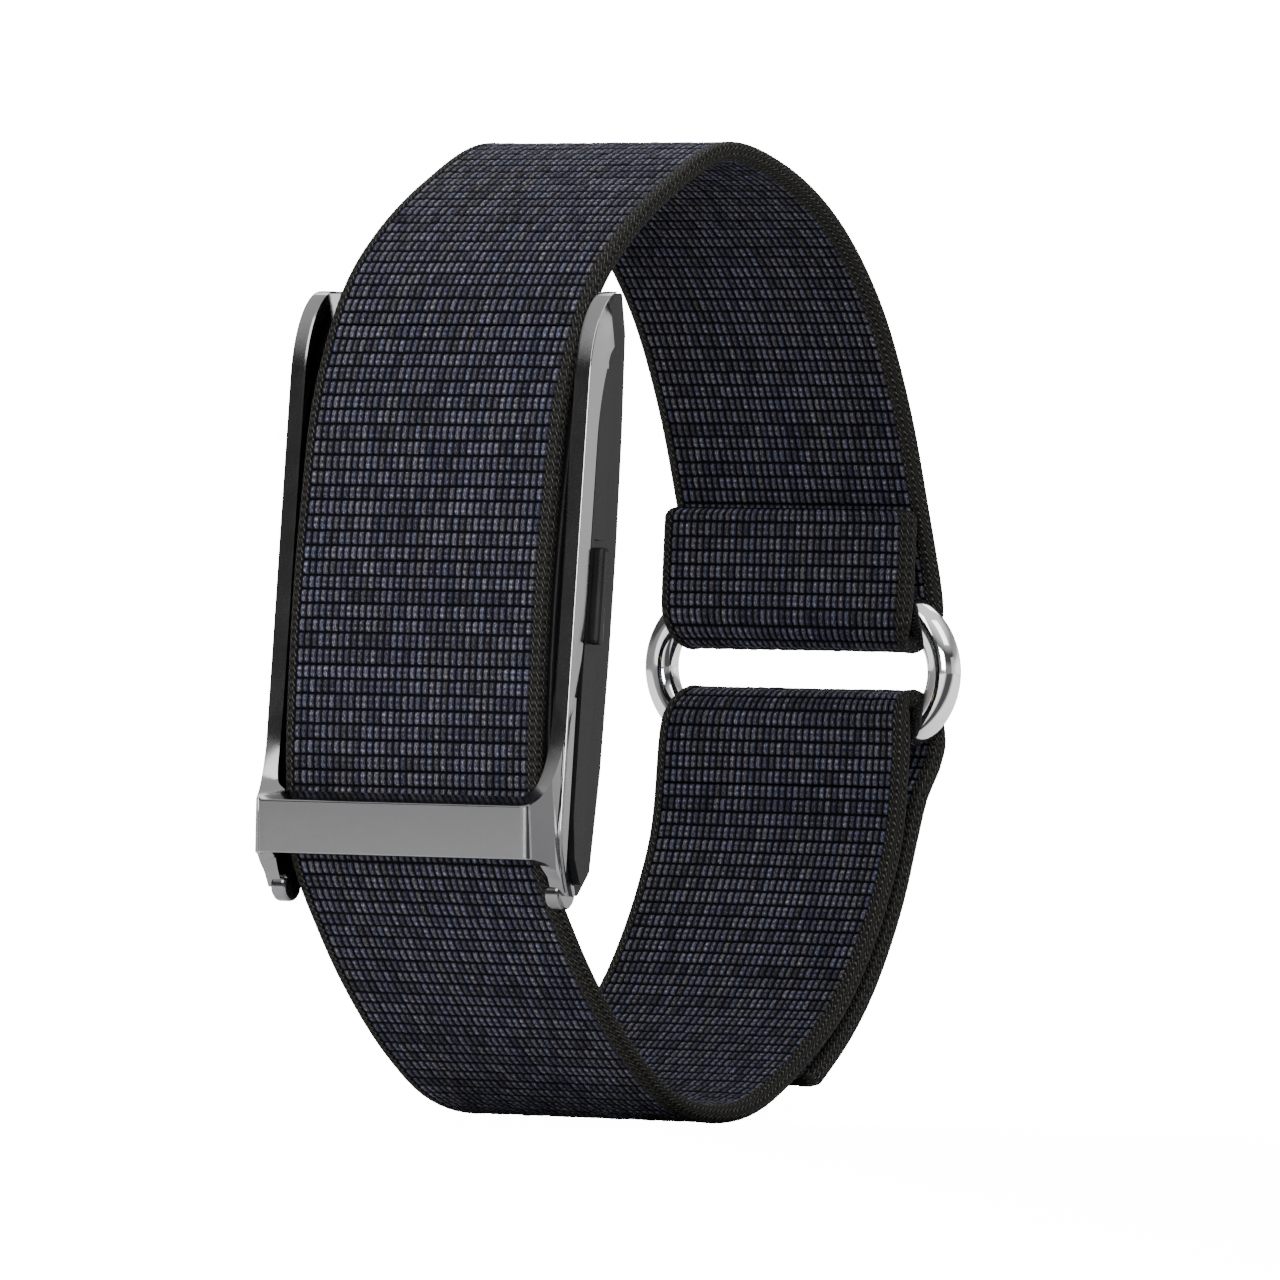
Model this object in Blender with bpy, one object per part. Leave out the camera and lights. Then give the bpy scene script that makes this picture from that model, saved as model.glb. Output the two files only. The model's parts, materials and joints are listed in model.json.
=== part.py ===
"""A screenless fitness tracker band: a sensor pod with a hinged metal clasp, carried on one woven strap
that passes over the pod, folds round a steel ring behind the wrist and closes with a hook-and-loop tail.

World frame: X across the strap, Y from the pod's front towards the back of the wrist, Z up. The band
stands on the bottom of its strap. Sizes are in millimetres and are scaled to metres as meshes are made.
The pod is drawn in its own frame: x across, v into the wrist, u up the pod, with v = 0 at the rails' front.
"""
import math

import bmesh
import bpy
from mathutils import Matrix, Vector

MM = 0.001

# ---- driving dimensions (mm) -------------------------------------------------------------------------
STRAP_W = 22.0
STRAP_T = 1.35
STRAP_EDGE = 0.35

POD_Y, POD_Z = -24.17, 38.8
POD_TILT = math.radians(6.7)

RING_WIRE = 1.25
RING_END = 4.77
RING_FLAT = 7.70
RING_Y, RING_Z = 25.6, 32.0
RING_SWING = math.radians(2.0)
RING_GAP = 0.30

FOLD_GAP_UP = 1.55
FOLD_GAP_LOW = 1.74
FOLD_REACH = 3.44

TAIL_HINGE_Z = 26.45
TAIL_STUCK_Z = 20.5
HOOK_T = 0.40
HOOK_GAP = 0.13

RAIL_OUT, RAIL_IN = 12.88, 11.63
RAIL_DEPTH = 1.50
SIDE_DEPTH = 3.20
BODY_X = 11.30
SHELL_X = 10.90
PIVOT_V, PIVOT_U = 2.80, 16.60
PIN_R = 0.35
EAR_R = 0.80
EAR_X = (11.55, 12.10)
BAR_X = 11.80
FLARE_DEPTH = 2.4
FIT = 0.15

# ---- scene and mesh helpers --------------------------------------------------------------------------
for old in list(bpy.data.objects):
    bpy.data.objects.remove(old, do_unlink=True)


def material(name, colour, roughness, metallic=0.0):
    mat = bpy.data.materials.new(name)
    mat.use_nodes = True
    shader = mat.node_tree.nodes["Principled BSDF"]
    shader.inputs["Base Color"].default_value = (*colour, 1.0)
    shader.inputs["Roughness"].default_value = roughness
    shader.inputs["Metallic"].default_value = metallic
    return mat


WEBBING = material("webbing", (0.030, 0.032, 0.055), 0.85)
HOOK = material("hook_tape", (0.015, 0.015, 0.018), 0.80)
GUNMETAL = material("gunmetal", (0.20, 0.20, 0.21), 0.25, 1.0)
STEEL = material("polished_steel", (0.75, 0.75, 0.76), 0.12, 1.0)
BLACK = material("black_plastic", (0.012, 0.012, 0.013), 0.35)
RUBBER = material("black_rubber", (0.015, 0.015, 0.015), 0.75)
LENS = material("dark_window", (0.01, 0.012, 0.012), 0.08)
GOLD = material("gold_contact", (0.80, 0.58, 0.25), 0.25, 1.0)
BOARD = material("circuit_board", (0.01, 0.12, 0.05), 0.50)
CHIP = material("chip", (0.02, 0.02, 0.022), 0.45)
SHIELD = material("tin_shield", (0.62, 0.62, 0.60), 0.35, 1.0)
CELL = material("battery_foil", (0.55, 0.56, 0.58), 0.35, 1.0)
FOAM = material("foam", (0.05, 0.05, 0.05), 0.95)
EMITTER = material("led", (0.25, 0.85, 0.45), 0.30)
PHOTODIODE = material("photodiode", (0.05, 0.05, 0.10), 0.20)


def empty(name, location, rotation=(0.0, 0.0, 0.0)):
    frame = bpy.data.objects.new(name, None)
    frame.location = Vector(location) * MM
    frame.rotation_euler = rotation
    bpy.context.scene.collection.objects.link(frame)
    return frame


POD = empty("pod_frame", (0.0, POD_Y, POD_Z), (-POD_TILT, 0.0, 0.0))


def add(name, mesh, mat, parent=None, origin=(0.0, 0.0, 0.0), cutter=False):
    """Link a mesh whose points are in millimetres in its parent's frame, with its own origin."""
    mesh.transform(Matrix.Scale(MM, 4) @ Matrix.Translation(-Vector(origin)))
    if mat:
        mesh.materials.append(mat)
    mesh.shade_smooth()
    mesh.set_sharp_from_angle(angle=math.radians(35))
    obj = bpy.data.objects.new(name, mesh)
    obj.location = Vector(origin) * MM
    obj.parent = parent
    if cutter:
        obj.hide_render = True
        obj.display_type = "WIRE"
    bpy.context.scene.collection.objects.link(obj)
    return obj


def to_mesh(name, verts, faces):
    """A mesh from points and faces, with its faces turned to point outwards."""
    bm = bmesh.new()
    points = [bm.verts.new(v) for v in verts]
    for face in faces:
        bm.faces.new([points[i] for i in face])
    bmesh.ops.recalc_face_normals(bm, faces=bm.faces)
    mesh = bpy.data.meshes.new(name)
    bm.to_mesh(mesh)
    bm.free()
    return mesh


def bevel(obj, width, segments=2, angle=30):
    mod = obj.modifiers.new("edge", "BEVEL")
    mod.width = width * MM
    mod.segments = segments
    mod.limit_method = "ANGLE"
    mod.angle_limit = math.radians(angle)
    return obj


def boolean(obj, other, operation="DIFFERENCE"):
    mod = obj.modifiers.new(operation.lower(), "BOOLEAN")
    mod.operation = operation
    mod.object = other
    return obj


def prism(name, outline, x0, x1, mat=None, parent=POD, origin=(0, 0, 0), cutter=False, side=None):
    """Extrude an outline of (v, u) points along X; side(x, v) may move a point's x."""
    count = len(outline)
    verts = []
    for x in (x0, x1):
        for v, u in outline:
            verts.append((side(x, v) if side else x, v, u))
    faces = [list(range(count)), [count + i for i in reversed(range(count))]]
    for i in range(count):
        j = (i + 1) % count
        faces.append([i, j, count + j, count + i])
    return add(name, to_mesh(name, verts, faces), mat, parent, origin, cutter)


def box(name, x, v, u, mat=None, edge=0.0, parent=POD, origin=(0, 0, 0), cutter=False):
    """A block between two x, two v and two u values."""
    outline = [(v[0], u[0]), (v[1], u[0]), (v[1], u[1]), (v[0], u[1])]
    obj = prism(name, outline, x[0], x[1], mat, parent, origin, cutter)
    return bevel(obj, edge) if edge else obj


def disc(name, centre, axis, radius, length, mat=None, inner=0.0, segments=32, parent=POD, cutter=False):
    """A cylinder, or a ring when inner is given, from its centre along axis 'x' or 'v'."""
    def at(r, a, d):
        if axis == "x":
            return (centre[0] + d, centre[1] + r * math.cos(a), centre[2] + r * math.sin(a))
        return (centre[0] + r * math.cos(a), centre[1] + d, centre[2] + r * math.sin(a))

    rings = [(radius, -length / 2), (radius, length / 2)]
    if inner:
        rings += [(inner, length / 2), (inner, -length / 2)]
    turn = [2 * math.pi * i / segments for i in range(segments)]
    verts = [at(r, a, d) for r, d in rings for a in turn]
    faces = []
    for k in range(len(rings) if inner else 1):
        low, high = k * segments, (k + 1) % len(rings) * segments
        for i in range(segments):
            j = (i + 1) % segments
            faces.append([low + i, low + j, high + j, high + i])
    if not inner:
        faces += [list(range(segments)), list(range(segments, 2 * segments))]
    return add(name, to_mesh(name, verts, faces), mat, parent, (0, 0, 0), cutter)


# ---- strap -------------------------------------------------------------------------------------------
def pod_to_world(v, u):
    """The world (y, z) of a point of the pod's frame."""
    c, s = math.cos(POD_TILT), math.sin(POD_TILT)
    return POD_Y + v * c + u * s, POD_Z - v * s + u * c


def spline(points, step):
    """Centripetal Catmull-Rom curve through the points, read about every step millimetres."""
    pts = [Vector(p) for p in points]
    pts = [pts[0] * 2 - pts[1], *pts, pts[-1] * 2 - pts[-2]]
    out = []
    for a, b, c, d in zip(pts, pts[1:], pts[2:], pts[3:]):
        t1 = (b - a).length ** 0.5
        t2 = t1 + (c - b).length ** 0.5
        t3 = t2 + (d - c).length ** 0.5
        count = max(1, round((c - b).length / step))
        for i in range(count):
            t = t1 + (t2 - t1) * i / count
            a1 = a * ((t1 - t) / t1) + b * (t / t1)
            a2 = b * ((t2 - t) / (t2 - t1)) + c * ((t - t1) / (t2 - t1))
            a3 = c * ((t3 - t) / (t3 - t2)) + d * ((t - t2) / (t3 - t2))
            b1 = a1 * ((t2 - t) / t2) + a2 * (t / t2)
            b2 = a2 * ((t3 - t) / (t3 - t1)) + a3 * ((t - t1) / (t3 - t1))
            out.append(b1 * ((t2 - t) / (t2 - t1)) + b2 * ((t - t1) / (t2 - t1)))
    out.append(pts[-2])
    return [tuple(p) for p in out]


def arc(centre, radius, start, end, count):
    """Points of an arc in the (y, z) plane, angles in degrees from +Y."""
    out = []
    for i in range(count + 1):
        a = math.radians(start + (end - start) * i / count)
        out.append((centre[0] + radius * math.cos(a), centre[1] + radius * math.sin(a)))
    return out


def strip(name, path, width, thickness, mat, round_start=0.0, round_end=0.0, origin=(0, 0, 0)):
    """Sweep a rounded band along a path of (y, z) points; a rounded end tapers like a half circle."""
    points = [Vector(p) for p in path]
    stations = []
    for i, p in enumerate(points):
        ahead = points[min(i + 1, len(points) - 1)] - points[max(i - 1, 0)]
        stations.append((p, ahead.normalized(), thickness / 2))
    for which, radius in (("start", round_start), ("end", round_end)):
        if not radius:
            continue
        p, along, half = stations[0] if which == "start" else stations[-1]
        out = -along if which == "start" else along
        caps = []
        for a in (25, 50, 72):
            lift = math.radians(a)
            caps.append((p + out * radius * math.sin(lift), along, half - radius + radius * math.cos(lift)))
        stations = list(reversed(caps)) + stations if which == "start" else stations + caps
    verts = []
    for p, along, half in stations:
        normal = Vector((along.y, -along.x))
        edge = min(STRAP_EDGE, half * 0.6)
        for x, h in ((width / 2 - edge, -half), (width / 2, -half + edge), (width / 2, half - edge),
                     (width / 2 - edge, half), (edge - width / 2, half), (-width / 2, half - edge),
                     (-width / 2, -half + edge), (edge - width / 2, -half)):
            q = p + normal * h
            verts.append((x, q.x, q.y))
    faces = [list(range(8)), [len(verts) - 1 - i for i in range(8)]]
    for k in range(len(stations) - 1):
        for i in range(8):
            j = (i + 1) % 8
            faces.append([8 * k + i, 8 * k + j, 8 * k + 8 + j, 8 * k + 8 + i])
    return add(name, to_mesh(name, verts, faces), mat, None, origin)


def pod_face(u):
    """The depth of the strap's inner face where it lies on the pod's crowned front."""
    return 0.30 + 0.90 * ((u + 1.0) / 15.0) ** 2


def main_strap_path():
    """The strap's centre line: sewn flap, upper fold, over the top, down the pod, lower fold."""
    half = STRAP_T / 2
    up = FOLD_GAP_UP + half
    low = FOLD_GAP_LOW + half
    up_z = RING_Z + RING_END - FOLD_REACH + half + up
    low_z = RING_Z - RING_END + FOLD_REACH - half - low
    flap = spline([(24.0, 44.0), (23.75, 41.0), (RING_Y - up, up_z)], 1.5)
    upper_fold = arc((RING_Y, up_z), up, 180, 360, 12)
    over_top = [upper_fold[-1], (27.45, 38.0), (25.75, 43.55), (22.9, 51.8), (19.0, 59.1), (13.4, 65.0),
                (6.6, 68.75), (-0.9, 70.3), (-8.3, 67.6), (-14.4, 63.9), (-18.3, 60.1)]
    on_pod = [pod_to_world(pod_face(u) - half, u) for u in (14.0, 7.0, 0.0, -7.0, -13.0)]
    under = [(-25.0, 20.3), (-21.3, 14.1), (-17.3, 9.2), (-13.0, 5.2), (-8.2, 2.1)]
    under += [(-2.5, half + 0.04), (3.4, 1.35)]
    beside_tail = [p for p in offset(tail_path(), STRAP_T + HOOK_T + 2 * HOOK_GAP) if p[1] < TAIL_STUCK_Z]
    under += [*reversed(beside_tail[:-1:3]), (RING_Y - low, low_z)]
    loop = spline([*over_top, *on_pod, *under], 1.8)
    lower_fold = arc((RING_Y, low_z), low, 180, 0, 12)
    end = (lower_fold[-1][0], TAIL_HINGE_Z + half + 0.25)
    return [*flap[:-1], *upper_fold[:-1], *loop[:-1], *lower_fold, end]


def tail_path():
    """The tail's centre line, from its bend below the lower fold to its free end."""
    top = RING_Y + FOLD_GAP_LOW + STRAP_T / 2
    return spline([(top, TAIL_HINGE_Z), (27.2, 24.9), (25.55, 22.9), (24.4, 20.4), (22.0, 14.8),
                   (18.35, 9.1), (15.0, 5.6), (10.6, 2.35)], 1.5)


def offset(path, distance):
    """The path moved sideways to the right of its direction, which is inwards on the tail."""
    out = []
    for i, p in enumerate(path):
        ahead = Vector(path[min(i + 1, len(path) - 1)]) - Vector(path[max(i - 1, 0)])
        ahead.normalize()
        out.append((p[0] + ahead.y * distance, p[1] - ahead.x * distance))
    return out


def ring_mesh(name, wire, swing=0.0, around=48, across=12):
    """A stadium-shaped wire ring, turned by swing about its top bar."""
    path = []
    for i in range(around):
        a = 2 * math.pi * (i + 0.5) / around
        side = RING_FLAT if math.cos(a) > 0 else -RING_FLAT
        path.append((Vector((side + RING_END * math.cos(a), RING_END * math.sin(a))), a))
    verts = []
    turn = Matrix.Rotation(swing, 3, "X")
    for p, a in path:
        for j in range(across):
            b = 2 * math.pi * j / across
            reach = wire * math.cos(b)
            along, up = p.x + reach * math.cos(a), p.y + reach * math.sin(a)
            point = Vector((along, wire * math.sin(b), up - RING_END))
            verts.append(turn @ point + Vector((0.0, RING_Y, RING_Z + RING_END)))
    faces = []
    for i in range(around):
        for j in range(across):
            n, m = (i + 1) % around, (j + 1) % across
            faces.append([i * across + j, n * across + j, n * across + m, i * across + m])
    return to_mesh(name, verts, faces)


def build_strap():
    main = strip("strap_main", main_strap_path(), STRAP_W, STRAP_T, WEBBING, 0.3, 0.0)
    for k, swing in enumerate((-RING_SWING, RING_SWING)):
        mesh = ring_mesh(f"ring_room_{k}", RING_WIRE + RING_GAP, swing)
        boolean(main, add(f"ring_room_{k}", mesh, None, cutter=True))
    path = tail_path()
    hinge = (0.0, path[0][0], path[0][1])
    strip("strap_tail", path, STRAP_W, STRAP_T, WEBBING, STRAP_T / 2 - 0.02, 0.3, hinge)
    hooks = offset(path, (STRAP_T + HOOK_T) / 2 + HOOK_GAP)
    strip("hook_patch", hooks[5:-1], STRAP_W - 2.4, HOOK_T, HOOK, 0.0, 0.0, hinge)


def build_ring():
    add("ring", ring_mesh("ring", RING_WIRE), STEEL, None, (0.0, RING_Y, RING_Z + RING_END))


# ---- clasp -------------------------------------------------------------------------------------------
def ellipse(centre, radii, start, end, count):
    out = []
    for i in range(count + 1):
        a = math.radians(start + (end - start) * i / count)
        out.append((centre[0] + radii[0] * math.cos(a), centre[1] + radii[1] * math.sin(a)))
    return out


def curve(a, b, c, count):
    """A quadratic curve from a to c, drawn towards b."""
    out = []
    for i in range(count + 1):
        t = i / count
        out.append(tuple(p * (1 - t) ** 2 + q * 2 * t * (1 - t) + r * t * t for p, q, r in zip(a, b, c)))
    return out


def clasp_arm_outline():
    """One side arm: a rail that curves back to its pivot above and turns under the pod below."""
    top = ellipse((SIDE_DEPTH, 15.6), (SIDE_DEPTH, 6.4), 180, 118, 8)
    tip = [(3.05, 21.5), (3.10, 19.4)]
    inner = ellipse((SIDE_DEPTH, 13.6), (SIDE_DEPTH - RAIL_DEPTH, 5.2), 100, 180, 6)
    foot = curve((RAIL_DEPTH, -15.0), (RAIL_DEPTH, -20.6), (SIDE_DEPTH, -20.7), 6)
    hook = curve((SIDE_DEPTH, -21.2), (2.2, -21.9), (1.2, -21.2), 3)
    return [*top, *tip, *inner, *foot, *hook, (0.0, -19.6)]


def build_clasp():
    """The U-shaped clasp: two arms, their flares and the bar that holds the strap down."""
    origin = (0.0, PIVOT_V, PIVOT_U)
    lead_in = RAIL_OUT - BAR_X - 0.13

    def slant(x, v):
        if abs(x) < BAR_X:
            return x
        reach = min(1.0, max(0.0, -v) / FLARE_DEPTH)
        return math.copysign(RAIL_OUT - 0.05 - lead_in * reach, x)

    bar = [(-2.63, -15.3), (-1.45, -14.45), (-0.95, -14.5), (-0.85, -19.0), (-2.02, -19.1)]
    frame = bevel(prism("clasp_frame", bar, -BAR_X, BAR_X, GUNMETAL, POD, origin), 0.30)
    sweep = curve((0.10, -8.0), (0.04, -12.8), (-2.52, -15.36), 8)
    flare = [*sweep, (-1.96, -18.96), (0.6, -19.2), (0.9, -8.0)]
    for side in (-1, 1):
        name = "left" if side < 0 else "right"
        rail = (side * RAIL_IN, side * RAIL_OUT)
        arm = prism(f"arm_{name}", clasp_arm_outline(), *rail, None, POD, cutter=True)
        boolean(frame, bevel(arm, 0.18), "UNION")
        reach = (side * 11.42, side * RAIL_OUT)
        wing = prism(f"flare_{name}", flare, *reach, None, POD, cutter=True, side=slant)
        boolean(frame, wing, "UNION")
        middle = side * sum(EAR_X) / 2
        lobe = ellipse((PIVOT_V, PIVOT_U), (EAR_R, EAR_R), -100, 80, 10)
        ear = [*lobe, (1.25, PIVOT_U + 1.7), (0.9, PIVOT_U - 0.6)]
        ear = prism(f"ear_{name}", ear, side * EAR_X[0], side * EAR_X[1], cutter=True)
        boolean(frame, ear, "UNION")
        hole = disc(f"pin_hole_{name}", (middle, PIVOT_V, PIVOT_U), "x", PIN_R + 0.08, 2.0, segments=16,
                    cutter=True)
        boolean(frame, hole)
        disc(f"hinge_pin_{name}", (side * 11.25, PIVOT_V, PIVOT_U), "x", PIN_R, 1.60, STEEL, segments=16)


# ---- pod shells --------------------------------------------------------------------------------------
def build_front_shell():
    """The crowned front tray that the strap lies on."""
    spots = (15.6, 13.5, 10.5, 7.0, 3.0, -1.0, -5.0, -9.0, -12.5, -14.5, -16.2)
    face = [(pod_face(u) + 0.30 + 0.05 * max(0.0, abs(u) - 13.0), u) for u in spots]
    outline = [*face, (2.15, -16.2), (2.15, 15.6)]
    shell = bevel(prism("front_shell", outline, -SHELL_X, SHELL_X, BLACK), 0.25)
    pocket = box("front_pocket", (-10.0, 10.0), (1.72, 2.6), (-11.5, 11.5), cutter=True)
    boolean(shell, pocket)


def build_rear_housing():
    """The back case: body, side walls level with the rails, cavity and openings."""
    seam = [(2.20, 17.2), (2.20, 15.95), (2.30, 15.80), (2.30, -17.8)]
    foot = [(2.85, -19.1), (4.30, -21.0), (5.20, -21.1), (6.55, -19.3)]
    back = [(7.10, -12.0), (7.30, -4.0), (7.30, 4.0), (7.10, 12.0), (6.70, 19.3)]
    cap = [(5.95, 22.1), (4.95, 22.0), (3.55, 20.0)]
    outline = [*seam, *foot, *back, *cap]
    housing = bevel(prism("rear_housing", outline, -BODY_X, BODY_X, BLACK), 0.7, 3, 20)
    for side in (-1, 1):
        name = "left" if side < 0 else "right"
        crest = ellipse((SIDE_DEPTH, 13.6), (SIDE_DEPTH - RAIL_DEPTH - FIT, 5.0), 128, 180, 5)
        wall = [*crest, (RAIL_DEPTH + FIT, -15.6), (2.1, -18.6), (2.9, -20.2),
                (SIDE_DEPTH, -20.4), (SIDE_DEPTH + 0.9, -18.0), (SIDE_DEPTH + 0.9, 17.5)]
        slab = prism(f"side_wall_{name}", wall, side * (BODY_X - 0.1), side * RAIL_OUT, cutter=True)
        slope = box(f"wall_trim_{name}", (side * 11.5, side * 14.0), (SIDE_DEPTH, 6.0), (-25.0, 25.0),
                    cutter=True)
        boolean(slab, slope)
        room = disc(f"ear_room_{name}", (side * 11.72, PIVOT_V, PIVOT_U), "x", 1.15, 1.05, cutter=True)
        over = box(f"arm_room_{name}", (side * 11.0, side * 13.5), (0.0, 6.0), (PIVOT_U - 0.3, 25.0),
                   cutter=True)
        boolean(slab, over)
        boolean(housing, slab, "UNION")
        boolean(housing, room)
        boolean(housing, disc(f"pin_bore_{name}", (side * 10.9, PIVOT_V, PIVOT_U), "x", PIN_R + 0.10, 1.2,
                              segments=16, cutter=True))
    cuts = [
        box("cavity", (-10.0, 10.0), (1.0, 6.30), (-15.2, 14.6), cutter=True),
        disc("window_hole", (0.0, 6.8, 0.0), "v", 7.65, 2.0, cutter=True),
        box("button_notch", (12.05, 14.0), (2.0, 4.5), (-3.9, 4.1), cutter=True),
        box("button_bore", (9.0, 13.0), (2.50, 3.10), (-1.0, 1.2), cutter=True),
    ]
    for x in (-3.0, 3.0):
        cuts.append(disc(f"contact_hole_{x}", (x, 6.5, -13.0), "v", 1.25, 3.0, segments=20, cutter=True))
    for cut in cuts:
        boolean(housing, cut)


def build_seal():
    """The bonding gasket between the two shells."""
    gasket = box("shell_gasket", (-10.7, 10.7), (2.18, 2.27), (-16.0, 15.4), RUBBER)
    boolean(gasket, box("gasket_open", (-10.15, 10.15), (1.0, 3.0), (-15.3, 14.7), cutter=True))


# ---- button ------------------------------------------------------------------------------------------
def build_button():
    cap = box("side_button", (12.47, 13.62), (2.12, 3.05), (-3.35, 3.55), BLACK, 0.28)
    stem = box("button_stem", (10.05, 12.8), (2.62, 2.98), (-0.65, 0.85), cutter=True)
    boolean(cap, stem, "UNION")
    box("button_switch", (8.45, 9.45), (2.45, 3.15), (-1.6, 1.8), SHIELD)
    seal = box("button_seal", (10.2, 10.7), (2.53, 3.07), (-0.95, 1.15), RUBBER)
    boolean(seal, box("seal_open", (9.0, 12.0), (2.59, 3.01), (-0.72, 0.92), cutter=True))


# ---- electronics -------------------------------------------------------------------------------------
def build_electronics():
    """The board stack in the case, from the front shell back to the skin."""
    box("main_board", (-9.7, 8.2), (2.42, 2.92), (-14.9, 14.3), BOARD)
    box("battery_pad", (-8.6, 7.6), (2.98, 3.10), (-14.3, 1.2), FOAM)
    box("battery_cell", (-9.0, 8.0), (3.16, 4.96), (-14.7, 1.6), CELL, 0.3)
    box("processor", (-6.4, -1.4), (2.98, 3.75), (9.0, 13.8), CHIP, 0.08)
    box("radio_module", (-0.6, 3.4), (2.98, 3.85), (10.2, 14.0), SHIELD, 0.10)
    box("memory_chip", (-6.2, -3.2), (2.98, 3.60), (5.2, 8.2), CHIP, 0.08)
    box("motion_sensor", (-2.2, 0.0), (2.98, 3.70), (6.0, 8.2), CHIP, 0.06)
    box("battery_connector", (-9.2, -7.0), (2.98, 3.90), (2.2, 5.4), CHIP, 0.08)
    disc("sensor_board", (0.0, 5.36, 0.0), "v", 6.9, 0.40, BOARD)
    disc("light_baffle", (0.0, 5.98, 0.0), "v", 6.6, 0.60, CHIP, inner=5.4)
    for k, x in enumerate((-3.6, 3.6), 1):
        box(f"photodiode_{k}", (x - 1.0, x + 1.0), (5.62, 6.05), (-1.2, 1.2), PHOTODIODE, 0.05)
    for k, u in enumerate((-2.6, 2.6), 1):
        box(f"green_led_{k}", (-0.8, 0.8), (5.62, 6.10), (u - 0.8, u + 0.8), EMITTER, 0.05)
    disc("sensor_window", (0.0, 6.86, 0.0), "v", 7.5, 0.84, LENS, segments=48)
    for k, x in enumerate((-3.0, 3.0), 1):
        pin = disc(f"charge_contact_{k}", (x, 6.20, -13.0), "v", 1.10, 1.75, GOLD, segments=20)
        bevel(pin, 0.12)


def build_motor():
    """The coin motor: a cup on the board with a half-round weight turning inside it."""
    centre = (5.2, 4.05, 6.1)
    case = disc("motor_case", centre, "v", 3.6, 2.0, SHIELD)
    boolean(case, disc("motor_room", (centre[0], 3.75, centre[2]), "v", 3.3, 2.0, cutter=True))
    count = 14
    steps = [math.pi * i / count for i in range(count + 1)]
    weight = [(centre[0] + 2.9 * math.cos(a), centre[2] + 0.2 + 2.9 * math.sin(a)) for a in steps]
    verts = [(x, v, u) for v in (3.25, 4.55) for x, u in weight]
    top = len(weight)
    faces = [list(range(top)), [top + i for i in reversed(range(top))]]
    for i in range(top):
        j = (i + 1) % top
        faces.append([i, j, top + j, top + i])
    add("motor_weight", to_mesh("motor_weight", verts, faces), STEEL, POD, centre)


build_strap()
build_ring()
build_clasp()
build_front_shell()
build_rear_housing()
build_seal()
build_button()
build_electronics()
build_motor()
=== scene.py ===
"""Looks for a screenless fitness tracker band: woven strap, steel ring, gunmetal clasp and sensor pod."""
import math

import bmesh
import bpy
import numpy as np
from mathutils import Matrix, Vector
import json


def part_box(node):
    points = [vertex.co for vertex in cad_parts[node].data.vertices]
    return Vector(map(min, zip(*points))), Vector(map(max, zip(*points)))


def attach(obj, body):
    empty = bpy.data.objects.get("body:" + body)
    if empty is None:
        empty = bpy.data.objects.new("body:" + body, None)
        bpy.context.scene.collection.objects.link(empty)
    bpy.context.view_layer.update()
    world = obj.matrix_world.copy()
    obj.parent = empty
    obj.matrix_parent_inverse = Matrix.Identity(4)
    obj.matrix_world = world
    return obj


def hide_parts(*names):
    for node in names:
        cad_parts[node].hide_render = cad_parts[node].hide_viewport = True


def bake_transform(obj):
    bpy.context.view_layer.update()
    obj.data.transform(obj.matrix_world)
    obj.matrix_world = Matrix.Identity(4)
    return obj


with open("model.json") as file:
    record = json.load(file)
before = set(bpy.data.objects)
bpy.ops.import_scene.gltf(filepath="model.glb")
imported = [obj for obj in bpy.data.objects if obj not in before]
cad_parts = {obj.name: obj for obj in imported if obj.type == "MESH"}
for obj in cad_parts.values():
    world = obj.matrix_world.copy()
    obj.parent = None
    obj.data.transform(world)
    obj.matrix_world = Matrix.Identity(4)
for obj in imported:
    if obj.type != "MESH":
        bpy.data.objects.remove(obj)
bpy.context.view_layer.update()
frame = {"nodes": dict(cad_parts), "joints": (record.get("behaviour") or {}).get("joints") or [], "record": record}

MM = 0.001

# ---- places read from the frame (mm) -----------------------------------------------------------------


def node_box(name):
    """The low and high corners of a CAD node's box, in millimetres."""
    low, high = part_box(name)
    return np.array(low) / MM, np.array(high) / MM


def joint(name):
    return next(j for j in frame["joints"] if j["name"] == name)


strap_low, strap_high = node_box("strap_main")
ring_low, ring_high = node_box("ring")
STRAP_W = strap_high[0] - strap_low[0]
STRAP_T = 1.35
# the ring's wire radius, end bend radius and half its straight run, then its middle
RING_WIRE = (ring_high[1] - ring_low[1]) / 2
RING_END = (ring_high[2] - ring_low[2]) / 2 - RING_WIRE
RING_FLAT = ring_high[0] - RING_END - RING_WIRE
RING_Y = (ring_high[1] + ring_low[1]) / 2
RING_Z = (ring_high[2] + ring_low[2]) / 2
# the pod's own frame: x across, v into the wrist, u up the pod
POD_Y, POD_Z = -24.17, 38.8
POD_TILT = math.radians(6.7)
TAIL_Y, TAIL_Z = (v / MM for v in joint("tail_peel")["pos_m"][1:])

# ---- strap, weave and fold sizes (mm) ----------------------------------------------------------------
FOLD_GAP_UP = 1.55
FOLD_GAP_LOW = 1.74
FOLD_REACH = 3.44
TAIL_STUCK_Z = 20.5
HOOK_T, HOOK_GAP = 0.40, 0.13
BESIDE_TAIL = STRAP_T + HOOK_T + 2 * HOOK_GAP
COLUMNS = 35
ROW = 1.07
SELVEDGE = 0.95
PINCH = 0.95
PINCH_REACH_UP, PINCH_REACH_LOW = 2.3, 2.5
END_ROUND, END_TAPER = 0.9, 0.6
END_THIN = 0.62
WIRE_ROOM = 0.10

# ---- camera and light --------------------------------------------------------------------------------
CAMERA_AZIMUTH, CAMERA_ELEVATION = 33.4, 1.6
SENSOR, VIEW_WIDTH = 36.0, 0.0934
WHITE = 16.0
PALE = 0.8
FLOOR_REACH, FLOOR_Z = 700.0, -0.02

# ---- mesh helpers ------------------------------------------------------------------------------------


def grey(value):
    return (value, value, value)


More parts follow.
